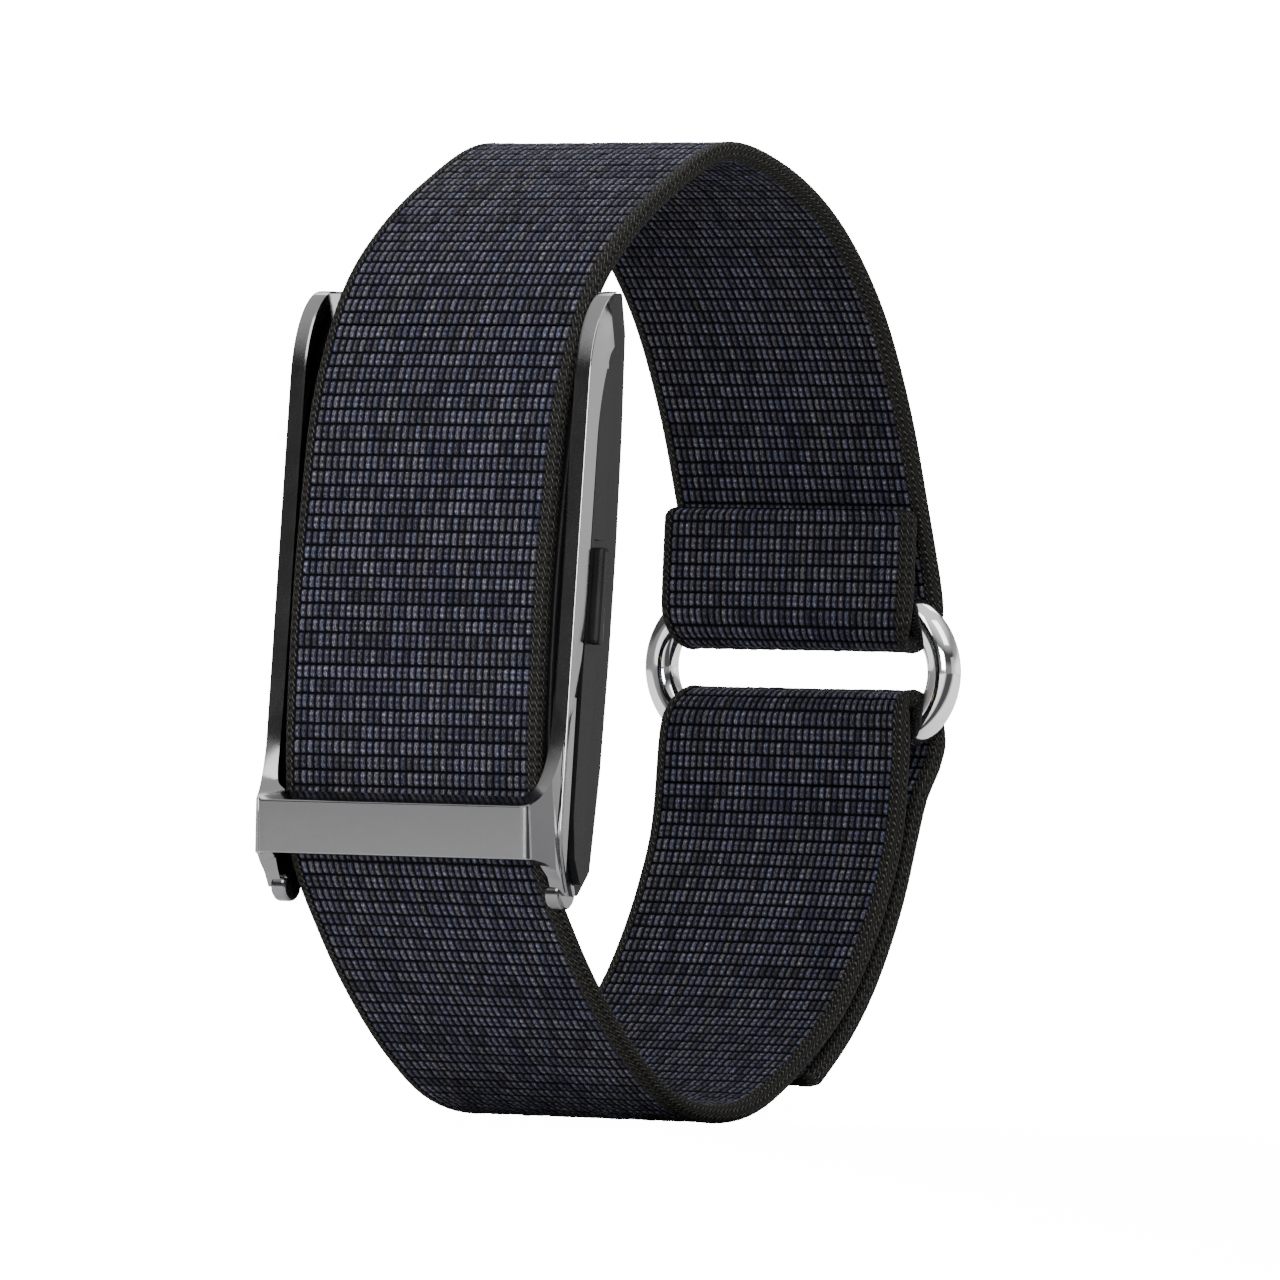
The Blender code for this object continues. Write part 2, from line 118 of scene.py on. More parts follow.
def new_object(name, verts, faces, material):
    """A smooth-shaded mesh object from points in millimetres in the row frame."""
    mesh = bpy.data.meshes.new(name)
    mesh.from_pydata((np.asarray(verts, float) * MM).tolist(), [], faces)
    mesh.validate()
    mesh.shade_smooth()
    mesh.materials.append(material)
    obj = bpy.data.objects.new(name, mesh)
    bpy.context.scene.collection.objects.link(obj)
    return obj


def grid_faces(rows, cols, closed=False):
    """Quads between rings of cols points each; closed joins the last ring to the first."""
    r, c = np.meshgrid(np.arange(rows if closed else rows - 1), np.arange(cols), indexing="ij")
    r2, c2 = (r + 1) % rows, (c + 1) % cols
    quads = np.stack([r * cols + c, r2 * cols + c, r2 * cols + c2, r * cols + c2], -1)
    return quads.reshape(-1, 4)


def capped_faces(rows, cols):
    """The faces of a closed body whose sections are rings of cols points, with both its end caps."""
    caps = [list(range(cols))[::-1], [(rows - 1) * cols + i for i in range(cols)]]
    return grid_faces(rows, cols).tolist() + caps


def face_out(obj):
    """Turns the faces of a closed mesh to point out."""
    bm = bmesh.new()
    bm.from_mesh(obj.data)
    bmesh.ops.recalc_face_normals(bm, faces=bm.faces)
    if bm.calc_volume(signed=True) < 0:
        bmesh.ops.reverse_faces(bm, faces=bm.faces)
    bm.to_mesh(obj.data)
    bm.free()


def store(obj, name, kind, field, values):
    """Keeps one value per point on a mesh, for its material to read."""
    layer = obj.data.attributes.new(name, kind, "POINT")
    layer.data.foreach_set(field, values.astype(np.float32).ravel())


# ---- material helpers --------------------------------------------------------------------------------


class Nodes:
    """A short way to write a node tree."""

    def __init__(self, name):
        self.material = bpy.data.materials.new(name)
        self.material.use_nodes = True
        self.tree = self.material.node_tree
        self.shader = self.tree.nodes["Principled BSDF"]

    @classmethod
    def over(cls, tree):
        """The same helpers for a tree that belongs to no material, such as the world's."""
        nodes = cls.__new__(cls)
        nodes.tree = tree
        return nodes

    def add(self, kind, links=None, **settings):
        node = self.tree.nodes.new(kind)
        for key, value in settings.items():
            setattr(node, key, value)
        for socket, value in (links or {}).items():
            self.put(node.inputs[socket], value)
        return node

    def put(self, socket, value):
        if isinstance(value, bpy.types.NodeSocket):
            self.tree.links.new(value, socket)
        else:
            socket.default_value = value

    def math(self, operation, a, b=0.0):
        return self.add("ShaderNodeMath", {0: a, 1: b}, operation=operation).outputs[0]

    def mix(self, factor, a, b):
        node = self.add("ShaderNodeMix", data_type="RGBA")
        self.put(node.inputs[0], factor)
        self.put(node.inputs[6], a)
        self.put(node.inputs[7], b)
        return node.outputs[2]

    def ramp(self, factor, stops):
        node = self.add("ShaderNodeValToRGB", {0: factor})
        ramp = node.color_ramp
        while len(ramp.elements) < len(stops):
            ramp.elements.new(0.5)
        for element, (place, colour) in zip(ramp.elements, stops):
            element.position = place
            element.color = (*colour, 1.0)
        return node.outputs[0]

    def noise(self, scale, vector, detail=2.0, rough=0.5):
        node = self.add("ShaderNodeTexNoise", {"Scale": scale, "Detail": detail, "Roughness": rough})
        self.put(node.inputs["Vector"], vector)
        return node.outputs[0]

    def place(self):
        """The object's own coordinates, in metres."""
        return self.add("ShaderNodeTexCoord").outputs["Object"]

    def bump(self, height, strength, distance):
        node = self.add("ShaderNodeBump", {"Height": height, "Strength": strength, "Distance": distance})
        self.put(self.shader.inputs["Normal"], node.outputs[0])

    def set(self, **values):
        """Sets the shader's inputs by name and gives back the material."""
        for key, value in values.items():
            self.put(self.shader.inputs[key.replace("_", " ")], value)
        return self.material


# ---- materials ---------------------------------------------------------------------------------------


def webbing_material():
    """Navy and charcoal webbing; weave holds (column, row, selvedge) and relief the height's share, painted as
    shade in the gaps and as highlight on the bead tops, with painted sheen speckles from the fibre noise.
    """
    n = Nodes("webbing")
    weave = n.add("ShaderNodeAttribute", attribute_name="weave").outputs["Vector"]
    relief = n.add("ShaderNodeAttribute", attribute_name="relief").outputs["Fac"]
    parts = n.add("ShaderNodeSeparateXYZ", {0: weave}).outputs
    column, row, edge = parts[0], parts[1], parts[2]
    cell = n.add("ShaderNodeCombineXYZ", {0: n.math("FLOOR", column), 1: n.math("FLOOR", row)}).outputs[0]
    bead = n.add("ShaderNodeTexWhiteNoise", {0: cell}, noise_dimensions="3D").outputs[0]
    streak_at = n.add("ShaderNodeCombineXYZ", {0: n.math("MULTIPLY", n.math("FLOOR", column), 7.31),
                                               1: n.math("MULTIPLY", row, 0.13)}).outputs[0]
    streak = n.noise(1.0, streak_at, 1.0)
    row_tone = n.noise(0.61, n.add("ShaderNodeCombineXYZ", {1: n.math("FLOOR", row)}).outputs[0], 2.0)
    fibre_at = n.add("ShaderNodeCombineXYZ", {0: n.math("MULTIPLY", column, 7.0),
                                              1: n.math("MULTIPLY", row, 5.0), 2: edge}).outputs[0]
    fibre = n.noise(1.0, fibre_at, 3.0, 0.7)
    tint = n.ramp(streak, [(0.28, (0.200, 0.195, 0.215)), (0.45, (0.205, 0.200, 0.262)),
                           (0.60, (0.165, 0.178, 0.272)), (0.75, (0.230, 0.206, 0.266))])
    # painted sheen: the fine fibre noise lifts the bead colour up to 2.4 times, as bright speckles of filament
    # sheen
    painted_sheen_speckle = n.ramp(fibre, [(0.34, grey(0.10)), (0.52, grey(0.60)), (0.72, grey(2.4))])
    lit = n.add("ShaderNodeMix", {0: 1.0, 6: tint, 7: painted_sheen_speckle}, data_type="RGBA",
                blend_type="MULTIPLY").outputs[2]
    shares = n.math("ADD", n.math("MULTIPLY", bead, 0.75), n.math("MULTIPLY", row_tone, 0.85))
    tone = n.math("ADD", 0.05, shares)
    lit = n.add("ShaderNodeVectorMath", {0: lit, "Scale": tone}, operation="SCALE").outputs[0]
    # painted shade and highlight: where the relief share is low, in the gaps between beads and rows, the colour
    # goes near black; where it is high, on the bead tops, it takes the full lit colour
    top = n.ramp(relief, [(0.36, grey(0.0)), (0.60, grey(0.17)), (0.73, grey(0.50)), (0.90, grey(1.0))])
    woven = n.mix(top, (0.0006, 0.0006, 0.0016, 1), lit)
    # the selvedge: painted shade darkens its rib grooves, and painted highlight brightens the rib tops and fibre
    # speckles
    twill = n.ramp(n.math("MULTIPLY", relief, n.math("ADD", 0.5, fibre)),
                   [(0.30, (0.0015, 0.0015, 0.0014)), (0.65, (0.018, 0.0175, 0.016)),
                    (1.00, (0.105, 0.104, 0.095))])
    colour = n.mix(edge, woven, twill)
    n.bump(n.math("MULTIPLY", fibre, relief), 0.55, 0.00012)
    n.shader.inputs["Specular IOR Level"].default_value = 0.05
    rough = n.ramp(fibre, [(0.3, grey(0.75)), (0.8, grey(0.50))])
    return n.set(Base_Color=colour, Roughness=rough)


def metal(name, colour, roughness, wear=0.05, grain=0.0):
    """Metal whose tone and polish vary a little by wear, with an optional fine grain."""
    n = Nodes(name)
    place = n.place()
    cloud = n.noise(260.0, place, 3.0)
    fine = n.noise(5200.0, place, 2.0)
    low = tuple(c * (1 - wear) for c in colour)
    high = tuple(min(1.0, c * (1 + wear)) for c in colour)
    base = n.ramp(cloud, [(0.35, low), (0.65, high)])
    rough = n.ramp(n.math("ADD", n.math("MULTIPLY", cloud, 0.7), n.math("MULTIPLY", fine, 0.3)),
                   [(0.3, grey(roughness * 0.8)), (0.7, grey(roughness * 1.25))])
    if grain:
        n.bump(fine, grain, 0.00001)
    return n.set(Base_Color=base, Roughness=rough, Metallic=1.0)


def plastic(name, colour, roughness, grain=0.2, coat=0.0, spread=0.15, scale=9000.0, shine=0.5):
    """Plastic, rubber or foam with a fine grain and a tone that varies by spread."""
    n = Nodes(name)
    place = n.place()
    cloud = n.noise(300.0, place, 3.0)
    fine = n.noise(scale, place, 2.0)
    base = n.ramp(cloud, [(0.3, tuple(c * (1 - spread) for c in colour)),
                          (0.7, tuple(c * (1 + spread) for c in colour))])
    rough = n.ramp(cloud, [(0.3, grey(roughness * 0.85)), (0.7, grey(roughness * 1.15))])
    n.bump(fine, grain, 0.00002)
    n.shader.inputs["Coat Weight"].default_value = coat
    n.shader.inputs["Specular IOR Level"].default_value = shine
    return n.set(Base_Color=base, Roughness=rough)


def glass(name, tint, roughness):
    """A dark tinted clear window."""
    n = Nodes(name)
    cloud = n.noise(250.0, n.place(), 3.0)
    base = n.ramp(cloud, [(0.3, tuple(c * 0.92 for c in tint)), (0.7, tint)])
    rough = n.ramp(cloud, [(0.3, grey(roughness * 0.7)), (0.7, grey(roughness * 1.4))])
    n.shader.inputs["Transmission Weight"].default_value = 0.85
    n.shader.inputs["IOR"].default_value = 1.45
    n.shader.inputs["Specular IOR Level"].default_value = 0.30
    return n.set(Base_Color=base, Roughness=rough)


# ---- the strap's centre line -------------------------------------------------------------------------


def pod_to_world(v, u):
    """The (y, z) place of a (v, u) point of the pod's frame."""
    c, s = math.cos(POD_TILT), math.sin(POD_TILT)
    return POD_Y + v * c + u * s, POD_Z - v * s + u * c


def spline(points, step):
    """Centripetal Catmull-Rom curve through the points, read about every step millimetres."""
    pts = [Vector(p) for p in points]
    pts = [pts[0] * 2 - pts[1], *pts, pts[-1] * 2 - pts[-2]]
    out = []
    for a, b, c, d in zip(pts, pts[1:], pts[2:], pts[3:]):
        t1 = (b - a).length ** 0.5
        t2 = t1 + (c - b).length ** 0.5
        t3 = t2 + (d - c).length ** 0.5
        count = max(1, round((c - b).length / step))
        for i in range(count):
            t = t1 + (t2 - t1) * i / count
            a1 = a * ((t1 - t) / t1) + b * (t / t1)
            a2 = b * ((t2 - t) / (t2 - t1)) + c * ((t - t1) / (t2 - t1))
            a3 = c * ((t3 - t) / (t3 - t2)) + d * ((t - t2) / (t3 - t2))
            b1 = a1 * ((t2 - t) / t2) + a2 * (t / t2)
            b2 = a2 * ((t3 - t) / (t3 - t1)) + a3 * ((t - t1) / (t3 - t1))
            out.append(b1 * ((t2 - t) / (t2 - t1)) + b2 * ((t - t1) / (t2 - t1)))
    out.append(pts[-2])
    return [tuple(p) for p in out]


def arc(centre, radius, start, end, count):
    """Points along a circle between two angles in degrees."""
    out = []
    for i in range(count + 1):
        a = math.radians(start + (end - start) * i / count)
        out.append((centre[0] + radius * math.cos(a), centre[1] + radius * math.sin(a)))
    return out


def pod_face(u):
    """The depth of the strap's inner face where it lies on the pod's crowned front."""
    return 0.30 + 0.90 * ((u + 1.0) / 15.0) ** 2


def tail_path():
    """The tail's centre line, from its bend below the lower fold to its free end."""
    return spline([(TAIL_Y, TAIL_Z), (27.2, 24.9), (25.55, 22.9), (24.4, 20.4), (22.0, 14.8),
                   (18.35, 9.1), (15.0, 5.6), (10.6, 2.35)], 1.5)


def offset(path, distance):
    """The path moved sideways to the right of its direction."""
    out = []
    for i, p in enumerate(path):
        ahead = Vector(path[min(i + 1, len(path) - 1)]) - Vector(path[max(i - 1, 0)])
        ahead.normalize()
        out.append((p[0] + ahead.y * distance, p[1] - ahead.x * distance))
    return out


def strap_path():
    """The whole strap's centre line: flap, upper fold, over the top, down the pod, lower fold and tail."""
    half = STRAP_T / 2
    up = FOLD_GAP_UP + half
    low = FOLD_GAP_LOW + half
    up_z = RING_Z + RING_END - FOLD_REACH + half + up
    low_z = RING_Z - RING_END + FOLD_REACH - half - low
    flap = spline([(24.0, 44.0), (23.75, 41.0), (RING_Y - up, up_z)], 1.5)
    upper_fold = arc((RING_Y, up_z), up, 180, 360, 12)
    over_top = [upper_fold[-1], (27.45, 38.0), (25.75, 43.55), (22.9, 51.8), (19.0, 59.1), (13.4, 65.0),
                (6.6, 68.75), (-0.9, 70.3), (-8.3, 67.6), (-14.4, 63.9), (-18.3, 60.1)]
    on_pod = [pod_to_world(pod_face(u) - half, u) for u in (14.0, 7.0, 0.0, -7.0, -13.0)]
    under = [(-25.0, 20.3), (-21.3, 14.1), (-17.3, 9.2), (-13.0, 5.2), (-8.2, 2.1),
             (-2.5, half + 0.04), (3.4, 1.35)]
    beside_tail = [p for p in offset(tail_path(), BESIDE_TAIL) if p[1] < TAIL_STUCK_Z]
    under += [*reversed(beside_tail[:-1:3]), (RING_Y - low, low_z)]
    loop = spline([*over_top, *on_pod, *under], 0.4)
    lower_fold = arc((RING_Y, low_z), low, 180, 0, 24)
    return [*flap[:-1], *upper_fold[:-1], *loop[:-1], *lower_fold, *tail_path()]


class CentreLine:
    """The path by its length, lightly smoothed: place(s), along(s) and normal(s) in (y, z)."""

    def __init__(self, path, step=0.1):
        pts = np.array(path)
        run = np.concatenate([[0], np.cumsum(np.linalg.norm(np.diff(pts, axis=0), axis=1))])
        self.length = run[-1]
        self.s = np.arange(0, self.length + step / 2, step)
        even = np.stack([np.interp(self.s, run, pts[:, k]) for k in (0, 1)], 1)
        window = np.hanning(13)[1:-1]
        window /= window.sum()
        pad = len(window) // 2
        for k in (0, 1):
            first = 2 * even[0, k] - even[pad:0:-1, k]
            last = 2 * even[-1, k] - even[-2:-pad - 2:-1, k]
            even[:, k] = np.convolve(np.concatenate([first, even[:, k], last]), window, "valid")
        self.points = even
        tangent = np.gradient(even, axis=0)
        self.tangent = tangent / np.linalg.norm(tangent, axis=1)[:, None]

    def read(self, values, s):
        return np.stack([np.interp(s, self.s, values[:, k]) for k in (0, 1)], -1)

    def place(self, s):
        return self.read(self.points, s)

    def normal(self, s):
        t = self.read(self.tangent, s)
        t /= np.linalg.norm(t, axis=-1)[..., None]
        return np.stack([t[..., 1], -t[..., 0]], -1)

    def nearest(self, y, z, low=0.0, high=1e9):
        inside = (self.s >= low) & (self.s <= high)
        gap = np.linalg.norm(self.points - (y, z), axis=1)
        return self.s[np.argmin(np.where(inside, gap, 1e9))]


# ---- the woven surface -------------------------------------------------------------------------------
BEAD_ACROSS = (0.0, 0.13, 0.37, 0.66, 0.88)
BEAD_ALONG = (0.0, 0.12, 0.31, 0.50, 0.69, 0.88)
EDGE_POINTS = 27
SELVEDGE_RIB = 0.27
rng = np.random.default_rng(7)


def section():
    """Points round the strap's section: x, normal offset, outward direction, column and edge place."""
    half, face = STRAP_T / 2, STRAP_W / 2 - SELVEDGE
    column = (np.arange(COLUMNS)[:, None] + np.array(BEAD_ACROSS)).ravel()
    x = -face + 2 * face * column / COLUMNS
    one = np.ones_like(x)
    outer = [x, half * one, 0 * one, one, column, 0 * one]
    inner = [x[::-1], -half * one, 0 * one, -one, 100 + column[::-1], 0 * one]
    run = np.linspace(0, 1, EDGE_POINTS + 1)[1:]
    flat = SELVEDGE - half * 0.86
    total = 2 * flat + math.pi * half
    d = run * total
    turn = np.clip((d - flat) / half, 0, math.pi)
    out = np.clip(d, 0, flat)
    back = np.clip(d - flat - math.pi * half, 0, flat)
    ex = face + out - back + half * 0.86 * np.sin(turn)
    en = half * np.cos(turn)
    nx, nn = np.sin(turn), np.cos(turn)
    edge_right = [ex, en, nx, nn, 200 + d, np.ones_like(d)]
    edge_left = [-ex[::-1], en[::-1], -nx[::-1], nn[::-1], 300 + d[::-1], np.ones_like(d)]
    # outer face left to right, right edge, inner face right to left, left edge
    parts = (outer, edge_right, inner, edge_left)
    return [np.concatenate(values) for values in zip(*parts)]


def ring_distance(x, z, y):
    """The distance of points from the ring's centre line, and the direction away from it."""
    over = np.clip(np.abs(x) - RING_FLAT, 0, None)
    sx = np.sign(x)
    px, pz = over, z - RING_Z
    reach = np.sqrt(px ** 2 + pz ** 2) + 1e-9
    dx, dz = px / reach, pz / reach
    gap_in_plane = reach - RING_END
    gap = np.sqrt(gap_in_plane ** 2 + (y - RING_Y) ** 2) + 1e-9
    away = np.stack([sx * dx * gap_in_plane / gap, (y - RING_Y) / gap, dz * gap_in_plane / gap], -1)
    return gap, away


def row_edges(length):
    """The places along the strap where one row of the weave ends and the next begins."""
    count = round(length / ROW)
    pitch = ROW * (1 + 0.045 * np.sin(np.arange(count) * 2.1) + rng.normal(0, 0.035, count))
    edges = np.concatenate([[0], np.cumsum(pitch)])
    return edges * length / edges[-1]


def weave_relief(column, row, bead_height, row_depth):
    """Height in mm from the nominal face, and a 0 to 1 share of it, for the two woven faces; the share is painted
    shade in the gaps and painted highlight on each bead's upper and lower parts.
    """
    a = column % 1.0
    b = row % 1.0
    across = np.sin(np.pi * a) ** 0.55
    along = np.clip(np.sin(np.pi * b), 0, 1) ** 0.33
    dimple = np.exp(-((b - 0.5) / 0.20) ** 2)
    # share: painted tone of the bead, dark in the gaps as painted shade, and lighter on its upper and lower parts
    # than in its middle dip as painted highlight
    share = along * (0.15 + 0.85 * across) * (1 - 0.34 * dimple)
    woven = -row_depth * (1 - along) - 0.19 * (1 - across) * along - 0.045 * dimple * across + bead_height
    return woven, share


def strap_pieces(line, cuts, material):
    """The strap as closed lengths that share their end sections, cut where two rows meet."""
    x, out, nx, nn, column, edge = section()
    rows = row_edges(line.length)
    row_total = len(rows) - 1
    depth = 0.17 + 0.12 * rng.random(row_total + 1) ** 1.5
    bead = rng.normal(0, 0.016, (row_total + 1, 512))
    wave = rng.normal(0, 1, (24, 3))
    starts = [int(np.argmin(abs(rows - c))) for c in cuts] + [row_total]
    fold_up = line.nearest(RING_Y, RING_Z + RING_END - FOLD_REACH, 0, 30)
    fold_low = line.nearest(RING_Y, RING_Z - RING_END + FOLD_REACH, line.length / 2)
    made = []
    for index, (first, last) in enumerate(zip(starts, starts[1:])):
        phase = np.concatenate([k + np.array(BEAD_ALONG) for k in range(first, last)] + [[last]])
        s = np.interp(phase, np.arange(row_total + 1), rows)
        row_index = np.clip(np.floor(phase + 1e-9).astype(int), 0, row_total)
        P, C = np.meshgrid(phase, column, indexing="ij")
        S = np.repeat(s[:, None], len(x), 1)
        X = np.repeat(x[None, :], len(s), 0)
        E = np.repeat(edge[None, :], len(s), 0)
        waves = sum(w[0] * np.sin(X * (0.25 + 0.05 * k) + S * (0.31 + 0.07 * k) + w[1] * 3)
                    for k, w in enumerate(wave)) / 24
        woven, share = weave_relief(C, P, bead[row_index[:, None], C.astype(int) % 512],
                                    depth[row_index][:, None])
        ribs = C / SELVEDGE_RIB
        twill = 0.5 + 0.5 * np.cos(2 * np.pi * ribs) * np.cos(2 * np.pi * (P * 2 + np.floor(ribs) * 0.5))
        relief = np.where(E > 0.5, -0.05 + 0.06 * twill, woven)
        # on the selvedge the painted shade and highlight follow its rib pattern
        share = np.where(E > 0.5, twill, share)
        # the ends are sealed thin, with rounded corners
        ends = np.minimum(S, line.length - S)
        corner = np.sqrt(np.clip(1 - (1 - np.clip(ends / END_ROUND, 0, 1)) ** 2, 0, 1))
        round_off = 1.0 - END_ROUND / (STRAP_W / 2) * (1 - corner)
        thin = END_THIN + (1 - END_THIN) * np.clip(ends / END_TAPER, 0, 1) ** 0.5
        pinch_up = np.exp(-((S - fold_up) / PINCH_REACH_UP) ** 2)
        pinch_low = np.exp(-((S - fold_low) / PINCH_REACH_LOW) ** 2)
        pinch = 1 - PINCH / (STRAP_W / 2) * (pinch_up + pinch_low)
        bow = 0.05 * np.sin(np.pi * (P % 1.0)) * (1 - E)
        X = (X - bow + 0.05 * waves * (1 - E)) * round_off * pinch
        S2 = S + 0.05 * np.roll(waves, 5, axis=1) * (ends > 0.5)
        centre = line.place(S2)
        normal = line.normal(S2)
        gap, away = ring_distance(X, centre[..., 1], centre[..., 0])
        push = np.clip(RING_WIRE + STRAP_T / 2 + WIRE_ROOM - gap, 0, None)
        lift = (np.repeat(out[None, :], len(s), 0) + relief * nn) * thin
        verts = np.stack([X + relief * nx + push * away[..., 0],
                          centre[..., 0] + normal[..., 0] * lift + push * away[..., 1],
                          centre[..., 1] + normal[..., 1] * lift + push * away[..., 2]], -1)
        rings, cols = verts.shape[:2]
        obj = new_object(PIECES[index][0], verts.reshape(-1, 3), capped_faces(rings, cols), material)
        store(obj, "weave", "FLOAT_VECTOR", "vector", np.stack([C, P, E], -1))
        # relief: the share that the webbing paints as shade in the gaps and as highlight on the bead and rib tops
        store(obj, "relief", "FLOAT", "value", share)
        face_out(obj)
        made.append((obj, rows[last] - rows[first]))
    return made


FOLD_LENGTH = 12.0
PIECES = [("strap_flap", "folded", ["ring"]), ("strap_back", "stretched", ["ring"]),
          ("strap_crown", "stretched", ["front_shell"]), ("strap_front", "stretched", ["front_shell"]),
          ("strap_under", "stretched", ["clasp_frame"]), ("strap_inside", "stretched", ["hook_patch"]),
          ("strap_fold", "folded", ["ring"]), ("strap_tail_end", "folded", ["hook_patch"])]


def build_strap():
    """The strap's eight lengths, which replace the object's strap; all but the tail's end are carried by the band.
    """
    material = webbing_material()
    line = CentreLine(strap_path())
    tail_start = line.nearest(TAIL_Y, TAIL_Z + 0.9, line.length - 50)
    fold_start = tail_start - FOLD_LENGTH
    first = line.nearest(27.4, 38.2, 10, 60)
    span = (fold_start - first) / 5
    cuts = [0.0, *(first + span * k for k in range(5)), fold_start, tail_start]
    pieces = strap_pieces(line, cuts, material)
    for (obj, length), (name, held, rests) in zip(pieces, PIECES):
        if name == "strap_tail_end":
            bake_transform(obj)
            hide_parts("strap_tail")
        else:
            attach(obj, "band")
    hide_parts("strap_main")


def build_ring():
    """The welded steel ring, as a smooth swept wire."""
    around, across = 192, 40
    a = 2 * np.pi * (np.arange(around) + 0.5) / around
    b = 2 * np.pi * np.arange(across) / across
    A, B = np.meshgrid(a, b, indexing="ij")
    reach = RING_END + RING_WIRE * np.cos(B)
    verts = np.stack([np.sign(np.cos(A)) * RING_FLAT + reach * np.cos(A),
                      RING_Y + RING_WIRE * np.sin(B), RING_Z + reach * np.sin(A)], -1)
    quads = grid_faces(around, across, closed=True)[:, ::-1].tolist()
    ring = new_object("ring_wire", verts.reshape(-1, 3), quads, metal("chrome", (0.78, 0.78, 0.79), 0.07))
    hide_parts("ring")
    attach(ring, "ring")


# ---- hook tape ---------------------------------------------------------------------------------------
HOOK_PITCH = 1.15
# the share of the height and the radius of a peg's rings, from its foot to its head
PEG = [(0.0, 0.20), (0.55, 0.13), (0.66, 0.27), (0.92, 0.22), (1.0, 0.08)]


def build_hooks():
    """The tail's hook tape: a thin woven backing with rows of small headed pegs facing the loop."""
    line = [Vector(p) for p in offset(tail_path(), (STRAP_T + HOOK_T) / 2 + HOOK_GAP)[5:-1]]
    half = (STRAP_W - 2.4) / 2
    back = HOOK_T * 0.45
    verts = []
    for i, p in enumerate(line):
        ahead = (line[min(i + 1, len(line) - 1)] - line[max(i - 1, 0)]).normalized()
        side = Vector((ahead.y, -ahead.x))
        low, high = p - side * HOOK_T / 2, p - side * (HOOK_T / 2 - back)
        verts += [(-half, *low), (half, *low), (half, *high), (-half, *high)]
    faces = capped_faces(len(line), 4)
    steps = [(line[i + 1] - line[i]).length for i in range(len(line) - 1)]
    far = np.concatenate([[0], np.cumsum(steps)])
    columns = np.arange(-half + 0.7, half - 0.5, HOOK_PITCH)
    for row, s in enumerate(np.arange(0.8, far[-1] - 0.6, HOOK_PITCH)):
        i = int(np.searchsorted(far, s)) - 1
        ahead = (line[i + 1] - line[i]).normalized()
        side = Vector((ahead.y, -ahead.x))
        foot = line[i] + ahead * (s - far[i]) - side * (HOOK_T / 2 - back + 0.04)
        for x in columns + 0.5 * HOOK_PITCH * (row % 2):
            add_peg(verts, faces, x, foot, ahead, side, HOOK_T - back)
    look = plastic("hook_tape", (0.012, 0.012, 0.014), 0.55, 1.0, 0.0, 0.4)
    obj = new_object("hook_tape", verts, faces, look)
    recalc(obj)
    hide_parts("hook_patch")
    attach(obj, "tail")


def add_peg(verts, faces, x, foot, ahead, side, height):
    """A peg with a wider head, as six-sided rings along its height."""
    first = len(verts)
    for rise, radius in PEG:
        for k in range(6):
            a = math.pi * k / 3
            centre = foot + side * (rise * height) + ahead * (radius * math.sin(a))
            verts.append((x + radius * math.cos(a), centre.x, centre.y))
    for r in range(len(PEG) - 1):
        for k in range(6):
            n = (k + 1) % 6
            a, b = first + r * 6, first + r * 6 + 6
            faces.append([a + k, a + n, b + n, b + k])
    faces.append([first + k for k in range(6)][::-1])
    faces.append([first + (len(PEG) - 1) * 6 + k for k in range(6)])


# ---- clasp -------------------------------------------------------------------------------------------
RAIL_OUT, RAIL_IN = 12.94, 11.63
SIDE_DEPTH = 3.20
PLATE_SLOPE = 0.45
PIVOT_V, PIVOT_U = 2.8, 16.6
PIN_BORE, EAR_R = 0.43, 0.8
LIP_V, LIP_U, LIP_R = 2.1, -21.15, 1.13
EAR_X, LIP_X, BORE_X = (11.55, 12.10), (11.15, 12.48), (11.40, 12.35)
SHARP_EDGE = math.radians(9)
BAR_TOP_U = -15.33


def from_pod(points):
    """World points (mm) of (x, v, u) points in the pod's frame."""
    return [(x, *pod_to_world(v, u)) for x, v, u in points]


def solid(name, sections, material, bevel=0.0):
    """A closed body through matching sections of (x, v, u) points, in the pod's frame."""
    verts = from_pod([p for ring in sections for p in ring])
    obj = new_object(name, verts, capped_faces(len(sections), len(sections[0])), material)
    recalc(obj)
    if bevel:
        mod = obj.modifiers.new("edge", "BEVEL")
        mod.width, mod.segments = bevel * MM, 3
        mod.limit_method = "ANGLE"
        mod.angle_limit = math.radians(30)
    return obj


def flat(face):
    """Whether all of a face's corners lie in one plane."""
    return all(abs((v.co - face.verts[0].co).dot(face.normal)) < 1e-7 for v in face.verts)


def recalc(obj):
    """Splits a body's bent faces and turns all its faces to point out."""
    bm = bmesh.new()
    bm.from_mesh(obj.data)
    bmesh.ops.connect_verts_concave(bm, faces=bm.faces)
    bmesh.ops.triangulate(bm, faces=[f for f in bm.faces if len(f.verts) == 4 and not flat(f)])
    bm.to_mesh(obj.data)
    bm.free()
    face_out(obj)


def settle(obj):
    """Applies an object's modifiers to its mesh and shades it smooth between its sharp edges."""
    bpy.context.view_layer.update()
    shape = obj.evaluated_get(bpy.context.evaluated_depsgraph_get())
    mesh = bpy.data.meshes.new_from_object(shape)
    obj.modifiers.clear()
    obj.data = mesh
    mesh.shade_smooth()
    mesh.set_sharp_from_angle(angle=SHARP_EDGE)


def join(body, other, operation="UNION"):
    """Makes a body its exact union or difference with another, which is used up."""
    settle(other)
    mod = body.modifiers.new("join", "BOOLEAN")
    mod.operation = operation
    mod.object = other
    mod.solver = "EXACT"
    settle(body)
    bpy.data.objects.remove(other, do_unlink=True)


